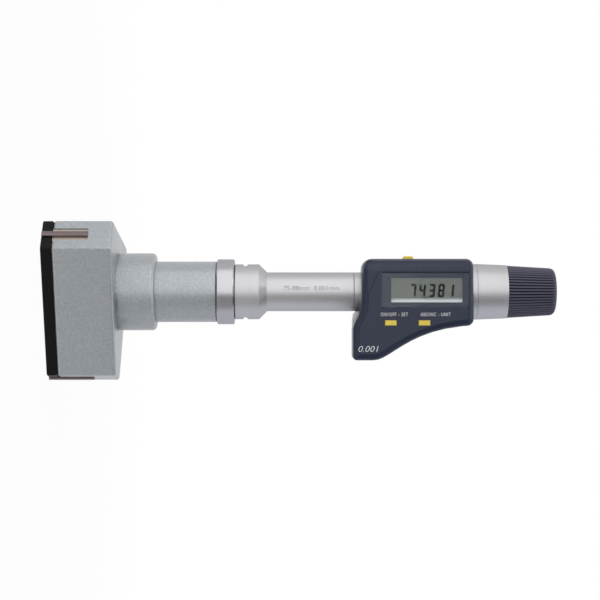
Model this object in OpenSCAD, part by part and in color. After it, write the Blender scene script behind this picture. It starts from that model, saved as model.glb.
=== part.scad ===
// Digital three-point inside micrometer, standing on the flat front face of its measuring head.
// The axis is Z, from the front face at z = 0 up to the ratchet knob. The display looks along -Y,
// and the lobe of the display case points along +X.

/* [Measuring head] */
// Distance from the axis to the three narrow faces that carry the anvils
contact_face_r = 36.3; // [35.8:0.1:36.6]
// Distance from the axis to the three wide faces
wide_face_r = 24.5; // [24:0.1:26]
// Length of the head block behind the front plate
head_len = 24.2; // [23:0.1:30]
// Rounding of the head's edges
head_edge_r = 1.1; // [0.5:0.1:1.5]
// Turn of the head about the axis against the display
head_turn = 20.5; // [0:0.5:60]
// Thickness of the black front plate
plate_t = 4.5; // [4.2:0.1:6]
// Distance of the plate screws from the axis
plate_screw_r = 18; // [16:0.5:19]

/* [Anvils and cone] */
// Contact diameter with the anvils drawn in
rest_diameter = 74.38; // [74:0.02:75]
// Radial travel of each anvil
anvil_travel = 6.81; // [5:0.01:7]
// Width of the anvil slots
slot_w = 6.4; // [5.5:0.1:7]
// Length of the anvil slots behind the plate
slot_len = 14.4; // [13:0.1:15.5]
// Width of the hard contact strip
strip_w = 2.4; // [1.8:0.1:3]
// Depth of the anvil's shoulder under the narrow face
shoulder_depth = 0.6; // [0.4:0.1:2]
// Radius of the contact strip's rounded face
strip_round_r = 3; // [2:0.1:6]
// Rise of the cone's radius along its length
cone_slope = 0.5; // [0.5:0.01:0.6]
// Radius of the cone's blunt tip
cone_tip_r = 1.5; // [1:0.1:1.8]
// Wire radius of the ring spring that draws the anvils in
ring_spring_r = 0.8; // [0.5:0.1:1]

/* [Neck and tube] */
// Diameter of the neck's flange
flange_d = 32.3; // [31.5:0.1:36]
// Length of the neck's flange
flange_len = 15.7; // [15:0.1:20]
// Rounding of the flange
flange_bevel = 1.7; // [1:0.1:2.5]
// Diameter of the neck
neck_d = 25.4; // [22:0.1:26]
// Length of the neck behind the flange
neck_len = 25.3; // [22:0.1:32]
// Diameter of the coupling nut
nut_d = 27.3; // [26.5:0.1:30]
// Length of the coupling nut
nut_len = 7.2; // [5:0.1:10]
// Diameter of the lock collar
collar_d = 23.05; // [21:0.05:25]
// Length of the lock collar, with its bevel
collar_len = 13.3; // [11:0.1:16]
// Width of the two round grooves for a hook spanner
spanner_d = 2.1; // [1.5:0.1:3]
// Depth of the spanner grooves
spanner_depth = 0.85; // [0.5:0.05:1]
// Diameter of the guide tube
tube_d = 16.3; // [15.8:0.1:17]
// Length of the guide tube between the collar and the socket
tube_len = 36.4; // [30:0.1:45]
// Diameter of the push rod
push_rod_d = 8; // [6:0.1:8]

/* [Display case] */
// Length of the case along the axis at its upper edge
case_len = 45.6; // [45.4:0.1:52]
// How far the lobe stands in front of the case's upper edge
lobe_lead = 3.8; // [2:0.1:5]
// Reach of the case from the axis to its straight edge
case_top = 13.6; // [13.5:0.05:15]
// Reach of the lobe from the axis
lobe_reach = 28.3; // [27.5:0.1:32]
// Reach of the case beside the thimble
thimble_side = 14.15; // [13.6:0.05:15]
// Depth of the front shell in front of the axis
front_depth = 17; // [16.8:0.1:19]
// Height of the raised face panel
panel_rise = 0.3; // [0.2:0.05:0.6]
// Depth of the back body behind the axis
back_depth = 14.5; // [14.2:0.1:17]
// Wall of the front shell
wall = 1.8; // [1.4:0.1:1.9]

/* [Display and buttons] */
// Length of the case in front of the clear window
window_lead = 7.7; // [7.5:0.1:8.5]
// Length of the case behind the clear window
window_tail = 2.2; // [2:0.1:3]
// Height of the clear window
window_h = 14; // [13.6:0.1:14.4]
// Thickness of the clear window
window_t = 1; // [0.8:0.1:1.1]
// Depth of the window below the face panel
window_sink = 0.5; // [0.3:0.05:0.6]
// Rim of the window in front of the display opening
opening_lead = 3.8; // [3.4:0.1:4.2]
// Rim of the window behind the display opening
opening_tail = 2.5; // [2.3:0.1:3]
// Height of the display opening
opening_h = 10; // [9:0.1:10.4]
// Length of the two front buttons
button_len = 4.7; // [4:0.1:5]
// Height of the two front buttons
button_h = 2.15; // [1.9:0.05:2.3]
// Travel of every button
button_travel = 0.5; // [0.3:0.05:0.5]
// Diameter of the button cell
cell_d = 11.6; // [9.5:0.1:11.6]
// Height of the button cell
cell_h = 5.4; // [3.6:0.1:5.4]

/* [Thimble and ratchet knob] */
// Diameter of the thimble at the case
thimble_d = 23.5; // [23:0.05:23.6]
// Diameter of the thimble at the knob
thimble_end_d = 22.3; // [22:0.05:23]
// Length of the thimble that shows beside the case
thimble_show = 15; // [14.6:0.1:18]
// Diameter of the knob at the thimble
knob_d = 21.9; // [21:0.1:22.3]
// Diameter of the knob at its end
knob_end_d = 19.8; // [19:0.1:21]
// Length of the knob
knob_len = 20.2; // [20:0.1:26]
// Rounding of the knob's end
knob_round_r = 2.4; // [1.5:0.1:3]
// Number of ribs on the knob
rib_count = 52; // [40:2:72]
// Depth of the grooves between the ribs
rib_depth = 0.5; // [0.3:0.05:0.7]
// Number of ratchet teeth
tooth_count = 24; // [16:1:30]

/* [Fits] */
// Clearance of a sliding or turning fit
run_gap = 0.05; // [0.02:0.01:0.1]
// Clearance of a seated fit
seat_gap = 0.02; // [0.01:0.01:0.05]
// Room around hidden pieces that move
free_gap = 0.3; // [0.2:0.05:0.5]

/* [Hidden] */
$fn = 96;
paint = "#a3a9ab";
steel = "#c4c5c6";
polished = "#d6d6d8";
bronze = "#b08d57";
carbide = "#8d8584";
dark_plastic = "#3a4254";
black_plastic = "#2d2d33";
yellow = "#f2c230";

// Places along the axis, from the front face upwards
head_z = plate_t + head_len;
slot_z = plate_t + slot_len;
flange_z = head_z + flange_len;
neck_z = flange_z + neck_len;
joint_gap = 0.2;
nut_z = neck_z + joint_gap + nut_len;
collar_z = nut_z + joint_gap + collar_len;
tube_z = collar_z + tube_len;
socket_show = 3.4;
case_z = tube_z + socket_show;
case_end_z = case_z + case_len;
lobe_z = case_z - lobe_lead;
knob_z = case_end_z + thimble_show;
end_z = knob_z + knob_len;

// Cone and anvils
axial_travel = anvil_travel / cone_slope;
tip_wall = 1.2;
tip_room = 0.2;
cone_tip_z = tip_wall + tip_room + axial_travel;
anvil_in_r = 2.2;
heel_len = 2.1;
heel_z = slot_z + heel_len;
heel_r = 12;
ramp_gap = 0.03;
cone_base_margin = 0.05;
cone_base_r = cone_r(heel_z) + anvil_travel + cone_base_margin;
cone_base_z = cone_tip_z + (cone_base_r - cone_tip_r) / cone_slope;
cone_room_r = cone_base_r + free_gap;
cone_room_z = cone_base_z + 0.9;
head_bore_r = heel_r + run_gap;
strip_root = 4;
strip_recess = 0.15;
anvil_out_r = contact_face_r - shoulder_depth;
strip_in_r = anvil_out_r - strip_root;
ring_r = norm([heel_r, slot_w / 2]) + ring_spring_r + run_gap;
ring_groove_r = ring_r + anvil_travel + ring_spring_r + free_gap;
ring_groove_z = slot_z + max(heel_len, 2 * ring_spring_r) + free_gap;
spigot_z = ring_groove_z + 1.2;
spigot_r = cone_room_r + 2.4;
plate_screw_shank_r = 1.5;
plate_screw_head_r = 2.9;
plate_screw_end_z = plate_t + 8;

// Tube, rod and their bushes
push_rod_r = push_rod_d / 2;
tube_r = tube_d / 2;
bush_wall = 2;
bush_r = push_rod_r + run_gap + bush_wall;
tube_bore_r = push_rod_r + 1.5;
front_bush_len = 12;
tube_seat_z = cone_room_z + front_bush_len + 2.4;
tube_spigot_r = tube_bore_r + 1.3;
tube_spigot_len = 7;
socket_flange_r = tube_r + 1.35;
socket_flange_z = case_z + wall + free_gap;
socket_end_z = socket_flange_z + 8.6;
ball_r = 2.5;
ball_z = socket_end_z - 2.5;

// Encoder, sleeve and spindle
rotor_gap = 0.4;
rotor_hub_len = 3;
rotor_t = 1.6;
rotor_z = socket_end_z + 1;
rotor_r = case_top - 2.3;
stator_t = 1.7;
stator_z = rotor_z + rotor_hub_len + rotor_t + rotor_gap;
sleeve_z = stator_z + stator_t;
sleeve_flange_r = case_top - 2.1;
sleeve_flange_len = 4;
sleeve_r = 9;
spindle_r = 4;
spindle_z = ball_z + ball_r;
thimble_wall_z = knob_z - 0.9;
sleeve_end_z = thimble_wall_z - axial_travel - free_gap;
nut_seat_len = 13.5;
spindle_nut_r = 6.5;
thimble_tail = 9.2;
thimble_z = case_end_z - thimble_tail;
thimble_r = thimble_d / 2;
thimble_bore_r = sleeve_r + free_gap;
thimble_room_r = thimble_r + 0.45;
thimble_room_z = sleeve_z + sleeve_flange_len;
spindle_end_r = 3;
spindle_end_len = 8;
stem_r = 6.5;
stem_z = end_z - 7.2;
thimble_wall_t = 3;

// Knob and ratchet
knob_wall = 1.4;
knob_bore_r = knob_end_d / 2 - rib_depth - knob_wall + 0.6;
ratchet_z = thimble_wall_z + thimble_wall_t + 1.9;
ratchet_len = 4.6;
tooth_h = 0.5;
ratchet_in_r = knob_bore_r - 0.7;
web_t = 1.5;
screw_head_len = 2;
screw_shank_r = 1.5;
screw_shank_len = 5.4;

// Case outline, as places along the axis and reaches across it
top_corner_r = 4.2;
end_corner_r = 3;
lobe_corner_r = 1.8;
lobe_flat_end = lobe_z + 8.1;
lobe_pull = 7;
shell_lead = 0.45;
tail_pull = 25.9;
tail_drop = 2.5;
arc_steps = 5;
curve_steps = 10;
top_bevel_r = 5;
side_bevel_r = 2.4;
back_bevel_r = 3;
bevel_steps = 5;
hub_x = 12;
hub_lead = 7.6;

// Display stack, as depths from the axis towards the viewer
panel_depth = front_depth + panel_rise;
window_z = case_z + window_lead;
window_len = case_len - window_lead - window_tail;
window_top = 7.6;
window_ledge = panel_depth - window_sink - window_t;
opening_z = window_z + opening_lead;
opening_len = window_len - opening_lead - opening_tail;
opening_top = 5.6;
inner_depth = front_depth - wall;
lcd_t = 1.2;
lcd_rim = 1.4;
lcd_bottom = 2.6;
lcd_depth = inner_depth - 0.05;
board_t = 0.8;
board_depth = thimble_r + 0.6;
button_x = 12.87;
mode_tail = 20.5;
power_z = case_z + 11.3;
mode_z = case_end_z - mode_tail;
button_rise = 0.6;
button_rim = 0.4;
button_flange_t = 0.4;
button_slack = 0.1;
top_button_z = case_z + 18.8;
top_button_depth = 8.5;
top_button_len = 4.2;
top_button_w = 3.2;
top_button_rise = 1.15;

// Battery compartment in the back of the lobe
cell_x = 15.5;
cell_z = lobe_z + 11;
cover_r = cell_d / 2 + 2.2;
cover_t = 2;
seal_r = 0.5;
contact_t = 0.3;
cell_room = cell_h + contact_t + 0.2;

// Case screws: place along the axis, and reach across it
screw_places = [
    [case_z + 2.9, -(case_top - 2.1)],
    [lobe_z + 3.4, lobe_reach - 3.7],
    [lobe_z + 22.5, 16.6]
];
screw_r = 0.8;
screw_head_r = 1.5;
boss_r = 1.7;
boss_depth = 7;
anvil_turns = [0, 120, 240];

function cone_r(z) = cone_tip_r + (z - cone_tip_z) * cone_slope;
function unit(v) = v / norm(v);
function arc(centre, r, from, to, steps) =
    [for (i = [0:steps]) let(a = from + (to - from) * i / steps) centre + r * [cos(a), sin(a)]];
function bezier(p, steps) =
    [for (i = [0:steps]) let(t = i / steps, s = 1 - t)
        s * s * s * p[0] + 3 * s * s * t * p[1] + 3 * s * t * t * p[2] + t * t * t * p[3]];

// Six-sided outline of the head: narrow and wide faces in turn, with rounded corners
function head_corner(d1, a1, d2, a2) =
    let(s = sin(a2 - a1)) [(d1 * sin(a2) - d2 * sin(a1)) / s, (d2 * cos(a1) - d1 * cos(a2)) / s];
function head_outline(inset, r) =
    [for (i = [0:5])
        let(narrow = contact_face_r - inset - r, wide = wide_face_r - inset - r, odd = i % 2 == 1)
        each arc(head_corner(odd ? wide : narrow, 60 * i, odd ? narrow : wide, 60 * i + 60),
            r, 60 * i, 60 * i + 60, 3)];

// Outline of the display case, [place along the axis, reach across it], clockwise from the upper corner,
// drawn in by one distance along the straight upper edge and by another along the rest. The front edge of
// the lobe is straight on the back body and swept back on the front shell, which stands a little ahead of it.
function rounded_corner(z, x, towards, r, in_z, in_x, from, to, steps) =
    let(left = max(r - max(in_z, in_x), 0.2), c = [z + (in_z + left) * towards[0], x + (in_x + left) * towards[1]])
    arc(c, left, from, to, steps);
function drawn_in(p, inset) =
    [for (i = [0:len(p) - 1])
        let(along = unit(p[min(i + 1, len(p) - 1)] - p[max(i - 1, 0)])) p[i] - inset * [along[1], -along[0]]];
function case_outline(swept, top_in, side_in) = let(lead = swept ? shell_lead : 0) concat(
    rounded_corner(case_z - lead, -case_top, [1, 1], top_corner_r, side_in, top_in, 180, 270, arc_steps),
    rounded_corner(case_end_z, -case_top, [-1, 1], end_corner_r, side_in, top_in, 270, 360, arc_steps),
    rounded_corner(case_end_z, thimble_side, [-1, -1], end_corner_r, side_in, side_in, 0, 75, arc_steps),
    drawn_in(bezier([
        [case_end_z - end_corner_r - 2, thimble_side + 0.15],
        [case_end_z - tail_pull - 2, thimble_side + tail_drop],
        [lobe_flat_end + lobe_pull, lobe_reach],
        [lobe_flat_end, lobe_reach]
    ], curve_steps), side_in),
    rounded_corner(lobe_z - lead, lobe_reach, [1, -1], lobe_corner_r, side_in, side_in, 90, 180, arc_steps),
    drawn_in(bezier(swept
        ? [[lobe_z - lead, tube_r + 7.3], [lobe_z - lead, tube_r + 4.1], [case_z - lead, tube_r + 2.2],
            [case_z - lead, tube_r - 4.7]]
        : [[lobe_z, tube_r + 3.8], [lobe_z, tube_r - 1.7], [case_z, tube_r + 0.8], [case_z, tube_r - 4.7]],
        arc_steps), side_in));
top_points = 2 * (arc_steps + 1);

// Outline of the raised face panel, point for point beside the case outline: its upper edge runs under the
// rounded edge of the case, and its upper corner is swept back towards the tube
function panel_outline(inset) =
    let(p = case_outline(true, inset, inset), top = top_bevel_r - case_top + 0.2, from = case_z - shell_lead + inset)
    [for (i = [0:len(p) - 1])
        i <= arc_steps
            ? bezier([[from, 1.2], [from + 1.6, -1.4], [from + 2.6, top], [from + 6.4, top]], arc_steps)[i]
            : i < top_points ? [p[i][0], max(p[i][1], top + 0.02 * (i - arc_steps))] : p[i]];

// Closed skin over rings that have the same number of points. Each end is closed by a fan about a hub, a point
// that sees the whole of its ring: the middle of the ring unless a place is given.
function middle(ring) = [for (p = ring) 1 / len(ring)] * ring;
module skin(rings, hubs = []) {
    n = len(rings[0]);
    m = len(rings);
    first = m * n;
    last = first + 1;
    ends = len(hubs) == 2 ? hubs : [middle(rings[0]), middle(rings[m - 1])];
    sides = [for (j = [0:m - 2], i = [0:n - 1]) let(k = (i + 1) % n)
        each [[j * n + i, (j + 1) * n + i, (j + 1) * n + k], [j * n + i, (j + 1) * n + k, j * n + k]]];
    fans = [for (i = [0:n - 1]) let(k = (i + 1) % n, top = (m - 1) * n) each [[first, i, k], [last, top + k, top + i]]];
    polyhedron(concat([for (r = rings) each r], ends), concat(sides, fans));
}

// Half of the case: straight from the parting plane, then rounded into its face
module case_half(swept, top_r, side_r, depth, side, inset = 0, panel = 0) {
    top_left = max(top_r - inset, 0.3);
    side_left = max(side_r - inset, 0.3);
    function ring_at(top_in, side_in, top_y, side_y) =
        let(p = case_outline(swept, inset + top_in, inset + side_in))
        [for (i = [0:len(p) - 1]) [p[i][1], side * (i < top_points ? top_y : side_y), p[i][0]]];
    function panel_ring(draw, y) = [for (q = panel_outline(side_r + draw)) [q[1], side * y, q[0]]];
    rings = concat(
        [ring_at(0, 0, -1 - inset, -1 - inset)],
        [for (k = [0:bevel_steps]) let(a = 90 * k / bevel_steps, across = 1 - cos(a), down = 1 - sin(a))
            ring_at(top_left * across, side_left * across,
                depth - inset - top_left * down, depth - inset - side_left * down)],
        panel > 0 ? [panel_ring(0.15, depth), panel_ring(0.35, depth + panel)] : []);
    ordered = side > 0 ? rings : [for (i = [len(rings) - 1:-1:0]) rings[i]];
    skin(ordered, [for (r = [ordered[0], ordered[len(rings) - 1]]) [hub_x, r[0][1], case_z + hub_lead]]);
}

// Six-sided block of the head between two heights, with rounded edges
module head_form(z1, z2, edge) {
    steps = 3;
    function level(a, z) = [for (q = head_outline(edge * (1 - cos(a)), head_edge_r)) [q[0], q[1], z]];
    skin(concat(
        [for (k = [steps:-1:0]) let(a = 90 * k / steps) level(a, z1 + edge * (1 - sin(a)))],
        [for (k = [0:steps]) let(a = 90 * k / steps) level(a, z2 - edge * (1 - sin(a)))]));
}

// Ring or rod about the axis
module tube(r, bore, z1, z2) {
    difference() {
        translate([0, 0, z1]) cylinder(r = r, h = z2 - z1);
        if (bore > 0) translate([0, 0, z1 - 1]) cylinder(r = bore, h = z2 - z1 + 2);
    }
}

// Solid of revolution from a profile of [radius, height] points
module turned(profile) {
    rotate_extrude() polygon(profile);
}

// Block between two places along the axis, two reaches across it and two depths in front of it
module front_block(z, x, depth) {
    translate([x[0], -depth[1], z[0]]) cube([x[1] - x[0], depth[1] - depth[0], z[1] - z[0]]);
}

// Slab across the whole case between two depths behind the axis
module behind_axis(y1, y2) {
    margin = 5;
    translate([-case_top - margin, y1, lobe_z - margin])
        cube([case_top + lobe_reach + 2 * margin, y2 - y1, case_len + lobe_lead + 2 * margin]);
}

module at_head() {
    rotate([0, 0, head_turn - 30]) children();
}

module at_anvil(i) {
    at_head() rotate([0, 0, anvil_turns[i]]) children();
}

module radial_slot(w, r1, r2, z1, z2) {
    translate([r1, -w / 2, z1]) cube([r2 - r1, w, z2 - z1]);
}

// Rod across the case, from one depth behind the axis to another
module cross_rod(place, r1, r2, y1, y2) {
    translate([place[1], y1, place[0]]) rotate([-90, 0, 0]) cylinder(r1 = r1, r2 = r2, h = y2 - y1);
}

module front_plate() {
    recess_r = cone_tip_r + (plate_t - tip_wall - tip_room) * cone_slope + free_gap;
    color(black_plastic) difference() {
        at_head() head_form(0, plate_t, 0.6);
        for (i = [0:2]) at_anvil(i)
            radial_slot(strip_w + 2 * run_gap, strip_in_r - run_gap, contact_face_r + 1, -1, plate_t + 1);
        translate([0, 0, tip_wall]) cylinder(r = recess_r, h = plate_t);
        for (i = [0:2]) at_anvil(i) rotate([0, 0, 60]) translate([plate_screw_r, 0, 0]) {
            translate([0, 0, -1]) cylinder(r = plate_screw_shank_r + run_gap, h = plate_t + 2);
            translate([0, 0, -0.1]) cylinder(r1 = plate_screw_head_r + 0.15, r2 = plate_screw_shank_r + run_gap,
                h = plate_screw_head_r - plate_screw_shank_r + 0.2);
        }
    }
}

module plate_screws() {
    sink = 0.12;
    cone_h = plate_screw_head_r - plate_screw_shank_r;
    color(black_plastic) for (i = [0:2]) at_anvil(i) rotate([0, 0, 60]) translate([plate_screw_r, 0, sink])
        difference() {
            union() {
                cylinder(r1 = plate_screw_head_r - run_gap, r2 = plate_screw_shank_r - run_gap, h = cone_h);
                cylinder(r = plate_screw_shank_r - run_gap, h = plate_screw_end_z - sink);
            }
            translate([0, 0, -1]) cylinder(r = 1.1, h = 2.3, $fn = 6);
        }
}

module head_block() {
    color(paint) difference() {
        at_head() head_form(plate_t, head_z, head_edge_r);
        translate([0, 0, plate_t - 1]) cylinder(r = head_bore_r, h = head_len + 2);
        translate([0, 0, spigot_z]) cylinder(r = spigot_r + seat_gap, h = head_len);
        translate([0, 0, slot_z - 0.1]) cylinder(r = ring_groove_r, h = ring_groove_z - slot_z + 0.1);
        for (i = [0:2]) at_anvil(i) radial_slot(slot_w, 0, contact_face_r + 1, plate_t - 1, slot_z);
        for (i = [0:2]) at_anvil(i) rotate([0, 0, 60]) translate([plate_screw_r, 0, plate_t - 1])
            cylinder(r = plate_screw_shank_r, h = plate_screw_end_z - plate_t + 1.5);
    }
}

module ring_spring() {
    color(steel) translate([0, 0, slot_z + heel_len / 2])
        rotate_extrude() translate([ring_r, 0]) circle(r = ring_spring_r, $fn = 24);
}

module anvil(i) {
    z1 = plate_t + run_gap;
    z2 = slot_z - run_gap;
    ramp_z = cone_tip_z + (anvil_in_r - ramp_gap - cone_tip_r) / cone_slope;
    profile = [
        [anvil_in_r, z1], [anvil_out_r, z1], [anvil_out_r, z2], [heel_r, z2], [heel_r, heel_z],
        [cone_r(heel_z) + ramp_gap, heel_z], [anvil_in_r, ramp_z]
    ];
    color(steel) at_anvil(i) difference() {
        translate([0, slot_w / 2 - run_gap, 0]) rotate([90, 0, 0])
            linear_extrude(slot_w - 2 * run_gap) polygon(profile);
        radial_slot(strip_w, strip_in_r, anvil_out_r + 1, z1 - 1, z2 + 1);
    }
}

module contact_strip(i) {
    z2 = slot_z - run_gap;
    tip_r = rest_diameter / 2;
    color(carbide) at_anvil(i) intersection() {
        radial_slot(strip_w, strip_in_r, tip_r + 1, strip_recess, z2);
        union() {
            translate([tip_r - strip_round_r, 0, 0]) cylinder(r = strip_round_r, h = z2 + 1);
            radial_slot(strip_w + 1, strip_in_r - 1, tip_r - strip_round_r, 0, z2 + 1);
        }
    }
}

module neck() {
    relief = 0.5;
    color(paint) turned([
        [cone_room_r, spigot_z + seat_gap], [spigot_r, spigot_z + seat_gap], [spigot_r, head_z],
        [flange_d / 2 - relief, head_z], [flange_d / 2 - relief, head_z + 0.7], [flange_d / 2, head_z + 0.7],
        each arc([flange_d / 2 - flange_bevel, flange_z - flange_bevel], flange_bevel, 0, 90, arc_steps),
        [neck_d / 2, flange_z], [neck_d / 2, neck_z - 0.3], [neck_d / 2 - 0.3, neck_z],
        [tube_r + seat_gap, neck_z], [tube_r + seat_gap, tube_seat_z], [bush_r + seat_gap, tube_seat_z],
        [bush_r + seat_gap, cone_room_z], [cone_room_r, cone_room_z]
    ]);
}

module front_bush() {
    color(bronze) tube(bush_r, push_rod_r + run_gap, cone_room_z + 0.6, cone_room_z + 0.6 + front_bush_len);
}

module coupling_nut() {
    bevel = 0.4;
    r = nut_d / 2;
    z1 = neck_z + joint_gap;
    color(polished) turned([
        [tube_r + seat_gap, z1], [r - bevel, z1], [r, z1 + bevel],
        [r, nut_z - bevel], [r - bevel, nut_z], [tube_r + seat_gap, nut_z]
    ]);
}

module lock_collar() {
    r = collar_d / 2;
    z1 = nut_z + joint_gap;
    small_r = tube_r + 0.15;
    groove_z = z1 + 4.4;
    color(steel) difference() {
        turned([
            [tube_r + seat_gap, z1], [r - 0.25, z1], [r, z1 + 0.25], [r, collar_z - (r - small_r)],
            [small_r, collar_z], [tube_r + seat_gap, collar_z]
        ]);
        for (turn = [0, 180]) rotate([0, 0, turn]) translate([r - spanner_depth + spanner_d / 2, 0, groove_z])
            rotate([90, 0, 0]) cylinder(r = spanner_d / 2, h = collar_d, center = true);
    }
}

module guide_tube() {
    color(steel) turned([
        [tube_bore_r, tube_seat_z + seat_gap], [tube_r, tube_seat_z + seat_gap], [tube_r, tube_z - 0.15],
        [tube_r - 0.15, tube_z], [tube_spigot_r, tube_z], [tube_spigot_r, tube_z + tube_spigot_len],
        [tube_bore_r, tube_z + tube_spigot_len]
    ]);
}

module rear_bush() {
    len = 12;
    z2 = tube_z - 3;
    color(bronze) tube(tube_bore_r - seat_gap, push_rod_r + run_gap, z2 - len, z2);
}

module tube_socket() {
    z1 = tube_z + 0.06;
    bore = push_rod_r + free_gap;
    color(steel) turned([
        [tube_spigot_r + seat_gap, z1], [tube_r - 0.15, z1], [tube_r, z1 + 0.15], [tube_r, socket_flange_z],
        [socket_flange_r, socket_flange_z], [socket_flange_r, socket_end_z], [bore, socket_end_z],
        [bore, tube_z + tube_spigot_len + run_gap],
        [tube_spigot_r + seat_gap, tube_z + tube_spigot_len + run_gap]
    ]);
}

module cone() {
    stud_r = 2;
    color(steel) difference() {
        translate([0, 0, cone_tip_z])
            cylinder(r1 = cone_tip_r, r2 = cone_base_r, h = cone_base_z - cone_tip_z);
        translate([0, 0, cone_base_z - 6]) cylinder(r = stud_r + seat_gap, h = 7);
    }
}

module push_rod() {
    stud_r = 2;
    color(steel) difference() {
        union() {
            translate([0, 0, cone_base_z - 5.9]) cylinder(r = stud_r, h = 7);
            translate([0, 0, cone_base_z + seat_gap]) cylinder(r = push_rod_r, h = ball_z - cone_base_z - 0.3);
        }
        translate([0, 0, ball_z - ball_r]) cylinder(r = ball_r + seat_gap, h = ball_r + 1);
    }
}

module thrust_ball() {
    color(polished) translate([0, 0, ball_z]) sphere(r = ball_r - seat_gap);
}

module front_shell() {
    window = [window_z - run_gap, window_z + window_len + run_gap];
    opening = [opening_z, opening_z + opening_len];
    hole = button_slack;
    color(dark_plastic) difference() {
        union() {
            difference() {
                case_half(true, top_bevel_r, side_bevel_r, front_depth, -1, 0, panel_rise);
                case_half(true, top_bevel_r, side_bevel_r, front_depth, -1, wall);
            }
            for (place = screw_places) cross_rod(place, boss_r, boss_r, -inner_depth - 0.2, 0.5);
        }
        front_block(window, [-window_top - run_gap, window_h - window_top + run_gap],
            [window_ledge, panel_depth + 1]);
        hull() for (step = [0, window_sink])
            front_block([window[0] - step, window[1] + step],
                [-window_top - run_gap - step, window_h - window_top + run_gap + step],
                [panel_depth - window_sink + step, panel_depth - window_sink + step + 0.05]);
        front_block(opening, [-opening_top, opening_h - opening_top], [inner_depth - 1, panel_depth + 1]);
        for (z = [power_z, mode_z])
            front_block([z - button_len / 2 - hole, z + button_len / 2 + hole],
                [button_x - button_h / 2 - hole, button_x + button_h / 2 + hole],
                [inner_depth - 1, panel_depth + 1]);
        front_block([top_button_z - top_button_len / 2 - hole, top_button_z + top_button_len / 2 + hole],
            [-case_top - 1, 1 - case_top + wall],
            [top_button_depth - top_button_w / 2 - hole, top_button_depth + top_button_w / 2 + hole]);
        tube(tube_r + seat_gap, 0, lobe_z - 1, socket_flange_z);
        tube(thimble_room_r, 0, thimble_room_z, case_end_z + 1);
        for (place = screw_places) cross_rod(place, screw_r, screw_r, -boss_depth, 1);
        behind_axis(0, 4);
    }
}

module back_body() {
    cover_y = back_depth - cover_t;
    color(steel) difference() {
        case_half(false, back_bevel_r, back_bevel_r, back_depth, 1);
        behind_axis(-4, 0);
        tube(tube_r + seat_gap, 0, lobe_z - 1, socket_flange_z + 1);
        tube(socket_flange_r + seat_gap, 0, socket_flange_z - run_gap, socket_end_z + 0.1);
        tube(rotor_r + free_gap, 0, socket_end_z, sleeve_z + 0.1);
        tube(sleeve_flange_r + seat_gap, 0, sleeve_z, thimble_room_z + 0.1);
        tube(thimble_room_r, 0, thimble_room_z, case_end_z + 1);
        cross_rod([cell_z, cell_x], cell_d / 2 + 0.2, cell_d / 2 + 0.2, cover_y - cell_room, back_depth);
        cross_rod([cell_z, cell_x], cover_r + run_gap, cover_r + run_gap, cover_y, back_depth + 1);
        for (place = screw_places) {
            cross_rod(place, screw_r + run_gap, screw_r + run_gap, -1, back_depth);
            cross_rod(place, screw_head_r + 0.1, screw_head_r + 0.1, back_depth - 2.2, back_depth + 1);
        }
    }
}

module case_screws() {
    head_len = 1.2;
    color(steel) for (place = screw_places) difference() {
        union() {
            cross_rod(place, screw_r - seat_gap, screw_r - seat_gap, 0.3 - boss_depth, back_depth - 2);
            cross_rod(place, screw_head_r, screw_head_r, back_depth - 2.2 + seat_gap, back_depth - 2.2 + head_len);
        }
        translate([place[1] - 1, back_depth - 1.6, place[0] - 0.2]) cube([2, 1, 0.4]);
        translate([place[1] - 0.2, back_depth - 1.6, place[0] - 1]) cube([0.4, 1, 2]);
    }
}

module window() {
    color("lightcyan", 0.35)
        front_block([window_z, window_z + window_len], [-window_top, window_h - window_top],
            [window_ledge + seat_gap, window_ledge + seat_gap + window_t]);
}

module lcd_panel() {
    color("#8f9a86") front_block([opening_z - lcd_rim, opening_z + opening_len + lcd_rim],
        [-opening_top - lcd_rim, lcd_bottom], [lcd_depth - lcd_t, lcd_depth]);
}

module lcd_holder() {
    x2 = opening_h - opening_top + lcd_rim - 0.2;
    z1 = opening_z - lcd_rim;
    z2 = opening_z + opening_len + lcd_rim;
    back = board_depth + board_t;
    color("gainsboro") {
        translate([0, 0, z1]) linear_extrude(z2 - z1) polygon([
            [-opening_top - lcd_rim, -back], [-opening_top - lcd_rim, lcd_t - lcd_depth + seat_gap],
            [lcd_bottom + run_gap, lcd_t - lcd_depth + seat_gap], [x2 - 1, -lcd_depth], [x2, -lcd_depth],
            [x2, -back]
        ]);
    }
}

module circuit_board() {
    edge = wall + 1;
    inner = case_outline(true, edge, edge);
    color("seagreen") difference() {
        translate([0, -board_depth, 0]) rotate([90, 0, 0]) linear_extrude(board_t - seat_gap)
            intersection() {
                polygon([for (q = inner) [q[1], q[0]]]);
                translate([1.5 - case_top + wall, lobe_z]) square([2 * lobe_reach, 2 * case_len]);
            }
        for (place = screw_places)
            cross_rod(place, boss_r + 0.2, boss_r + 0.2, -front_depth, 0);
    }
}

module key_pad() {
    margin = 2.9;
    top = inner_depth - button_flange_t - button_travel - 0.15;
    color("dimgray") front_block([power_z - margin, mode_z + margin],
        [button_x - button_h / 2 - 0.5, button_x + button_h / 2 + 0.5], [board_depth + board_t, top]);
}

module top_switch() {
    color("black") front_block([top_button_z - 2.1, top_button_z + 2.1],
        [wall + 1.3 - case_top, wall + 3 - case_top], [9.2, board_depth - run_gap]);
}

// Push button with a bevelled cap and a flange that keeps it in the shell
module button_form(len, h, reach, bevel) {
    hull() {
        translate([-len / 2, -h / 2, 0]) cube([len, h, reach - bevel]);
        translate([bevel - len / 2, bevel - h / 2, 0]) cube([len - 2 * bevel, h - 2 * bevel, reach]);
    }
    translate([-len / 2 - button_rim, -h / 2 - button_rim, -button_flange_t])
        cube([len + 2 * button_rim, h + 2 * button_rim, button_flange_t]);
}

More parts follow.
